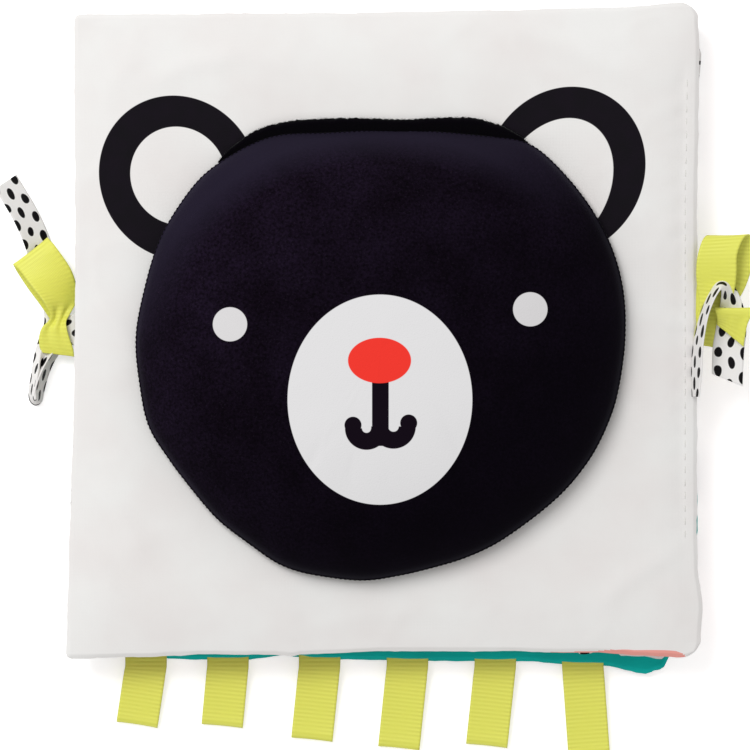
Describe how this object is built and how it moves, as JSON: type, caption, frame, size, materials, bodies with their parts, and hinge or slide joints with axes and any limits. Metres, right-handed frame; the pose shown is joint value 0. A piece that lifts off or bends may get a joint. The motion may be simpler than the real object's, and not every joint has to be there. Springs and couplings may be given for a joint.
{
  "type": "crinkle cloth book",
  "caption": "Soft cloth baby book with padded crinkle pages in a zigzag fold, a stuffed lift-up animal face, ribbon loop tags and a tied ribbon bow at each side.",
  "frame": {"origin": "centre of the back page's flat underside, on the surface that the closed book lies on", "axes": "+X across the book from its left fold to its right fold, +Y up the page, +Z out of the cover towards the reader"},
  "size_m": [0.2189, 0.2167, 0.0394],
  "materials": {
    "white_cotton": "matt woven cotton",
    "salmon_cotton": "matt woven cotton",
    "marked_cotton": "matt printed cotton",
    "teal_cotton": "matt woven cotton",
    "striped_cotton": "matt printed cotton",
    "black_plush": "brushed, slightly fuzzy knit",
    "wadding": "loose polyester fibre",
    "crinkle_film": "thin crackling film",
    "lime_grosgrain": "ribbed ribbon",
    "dotted_ribbon": "smooth printed ribbon"
  },
  "bodies": {
    "back_page": {"back_page_front_cloth": "teal_cotton", "back_page_back_cloth": "striped_cotton", "back_page_wadding": "wadding", "back_page_crinkle_film": "crinkle_film", "right_fold_back_hem": "marked_cotton"},
    "middle_page": {"middle_page_front_cloth": "marked_cotton", "middle_page_back_cloth": "marked_cotton", "middle_page_wadding": "wadding", "middle_page_crinkle_film": "crinkle_film", "right_fold_page_hem": "marked_cotton", "left_fold_page_hem": "marked_cotton"},
    "cover": {"cover_front_cloth": "white_cotton", "cover_back_cloth": "salmon_cotton", "cover_wadding": "wadding", "cover_crinkle_film": "crinkle_film", "left_fold_cover_hem": "white_cotton", "face_hinge_hem": "black_plush"},
    "face_flap": {"face_front_cloth": "black_plush", "face_back_cloth": "black_plush", "face_stuffing": "wadding"},
    "tag_1": {"tag_1": "lime_grosgrain"},
    "tag_2": {"tag_2": "lime_grosgrain"},
    "tag_3": {"tag_3": "lime_grosgrain"},
    "tag_4": {"tag_4": "lime_grosgrain"},
    "tag_5": {"tag_5": "lime_grosgrain"},
    "tag_6": {"tag_6": "lime_grosgrain"},
    "left_bow": {"left_bow_lime_ribbon": "lime_grosgrain", "left_bow_dotted_ribbon": "dotted_ribbon"},
    "right_bow": {"right_bow_lime_ribbon": "lime_grosgrain", "right_bow_dotted_ribbon": "dotted_ribbon"}
  },
  "joints": [
    {"name": "right_fold", "type": "hinge", "parent": "back_page", "child": "middle_page", "pos_m": [0.09, 0, 0.006], "axis": [0, 1, 0], "range_deg": [0, 180]},
    {"name": "left_fold", "type": "hinge", "parent": "middle_page", "child": "cover", "pos_m": [-0.09, 0, 0.0122], "axis": [0, -1, 0], "range_deg": [0, 180]},
    {"name": "face_lift", "type": "hinge", "parent": "cover", "child": "face_flap", "pos_m": [-0.0013, 0.05795, 0.0197], "axis": [-1, 0, 0], "range_deg": [0, 110]},
    {"name": "tag_1_swing", "type": "hinge", "parent": "back_page", "child": "tag_1", "pos_m": [-0.0691, -0.0963, 0.0029], "axis": [-1, 0, 0], "range_deg": [-60, 70]},
    {"name": "tag_2_swing", "type": "hinge", "parent": "back_page", "child": "tag_2", "pos_m": [-0.0454, -0.0963, 0.0029], "axis": [-1, 0, 0], "range_deg": [-60, 70]},
    {"name": "tag_3_swing", "type": "hinge", "parent": "back_page", "child": "tag_3", "pos_m": [-0.0189, -0.0963, 0.0029], "axis": [-1, 0, 0], "range_deg": [-60, 70]},
    {"name": "tag_4_swing", "type": "hinge", "parent": "back_page", "child": "tag_4", "pos_m": [0.0065, -0.0963, 0.0029], "axis": [-1, 0, 0], "range_deg": [-60, 70]},
    {"name": "tag_5_swing", "type": "hinge", "parent": "back_page", "child": "tag_5", "pos_m": [0.0319, -0.0963, 0.0029], "axis": [-1, 0, 0], "range_deg": [-60, 70]},
    {"name": "tag_6_swing", "type": "hinge", "parent": "back_page", "child": "tag_6", "pos_m": [0.0572, -0.0963, 0.0029], "axis": [-1, 0, 0], "range_deg": [-60, 70]},
    {"name": "left_bow_swing", "type": "hinge", "parent": "back_page", "child": "left_bow", "pos_m": [-0.0876, 0.0029, 0.0029], "axis": [0, 1, 0], "range_deg": [-60, 35]},
    {"name": "right_bow_swing", "type": "hinge", "parent": "cover", "child": "right_bow", "pos_m": [0.0904, 0.005, 0.0153], "axis": [0, -1, 0], "range_deg": [-60, 15]}
  ]
}
